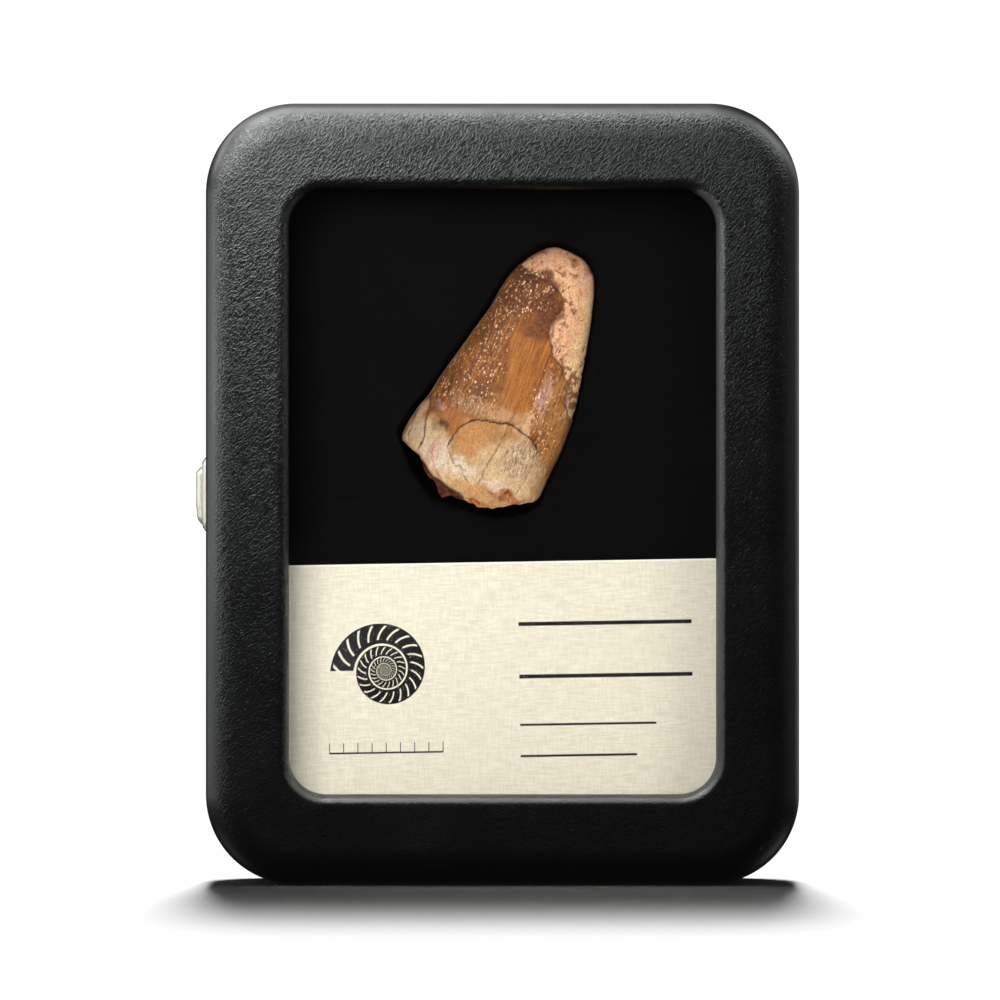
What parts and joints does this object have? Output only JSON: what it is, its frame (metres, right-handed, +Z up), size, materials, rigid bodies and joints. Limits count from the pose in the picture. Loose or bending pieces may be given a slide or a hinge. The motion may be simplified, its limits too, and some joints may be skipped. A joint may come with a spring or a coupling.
{
  "type": "fossil crocodile tooth in a windowed display case",
  "caption": "Worn fossil crocodile tooth in a foam pocket above a cream card, inside a small black leatherette case with a hinged window lid and a push clasp.",
  "frame": {"origin": "the surface that the case stands on, halfway along the flat bottom's width and the case's depth", "axes": "+Z up along the case's height, +Y from the window to the back, +X to the viewer's right, where the hinge is"},
  "size_m": [0.0849, 0.028, 0.1095],
  "materials": {
    "leatherette": "fine pebbled black leatherette with a low sheen",
    "pane": "clear, flat and polished",
    "foam": "dead-matt black foam with very fine cells",
    "card": "cream card with a linen texture",
    "fossil": "glossy caramel enamel with matt cream dentine and rust stains",
    "nickel": "polished nickel plate",
    "steel": "dull plated spring steel"
  },
  "bodies": {
    "tray": {"case_base": "leatherette", "foam_pad": "foam", "label_card": "card", "fossil_tooth": "fossil", "clasp_bezel": "nickel", "hinge_base_leaf": "steel", "hinge_pin": "steel"},
    "lid": {"case_lid": "leatherette", "window_pane": "pane", "clasp_catch": "steel", "hinge_lid_leaf": "steel"},
    "button": {"clasp_button": "nickel"}
  },
  "joints": [
    {"name": "lid_hinge", "type": "hinge", "parent": "tray", "child": "lid", "pos_m": [0.0403, -0.003, 0.05475], "axis": [0, 0, 1], "range_deg": [0, 95]},
    {"name": "button_press", "type": "slide", "parent": "tray", "child": "button", "axis": [1, 0, 0], "range_m": [0, 0.0006], "stiffness_N_per_m": 500}
  ]
}
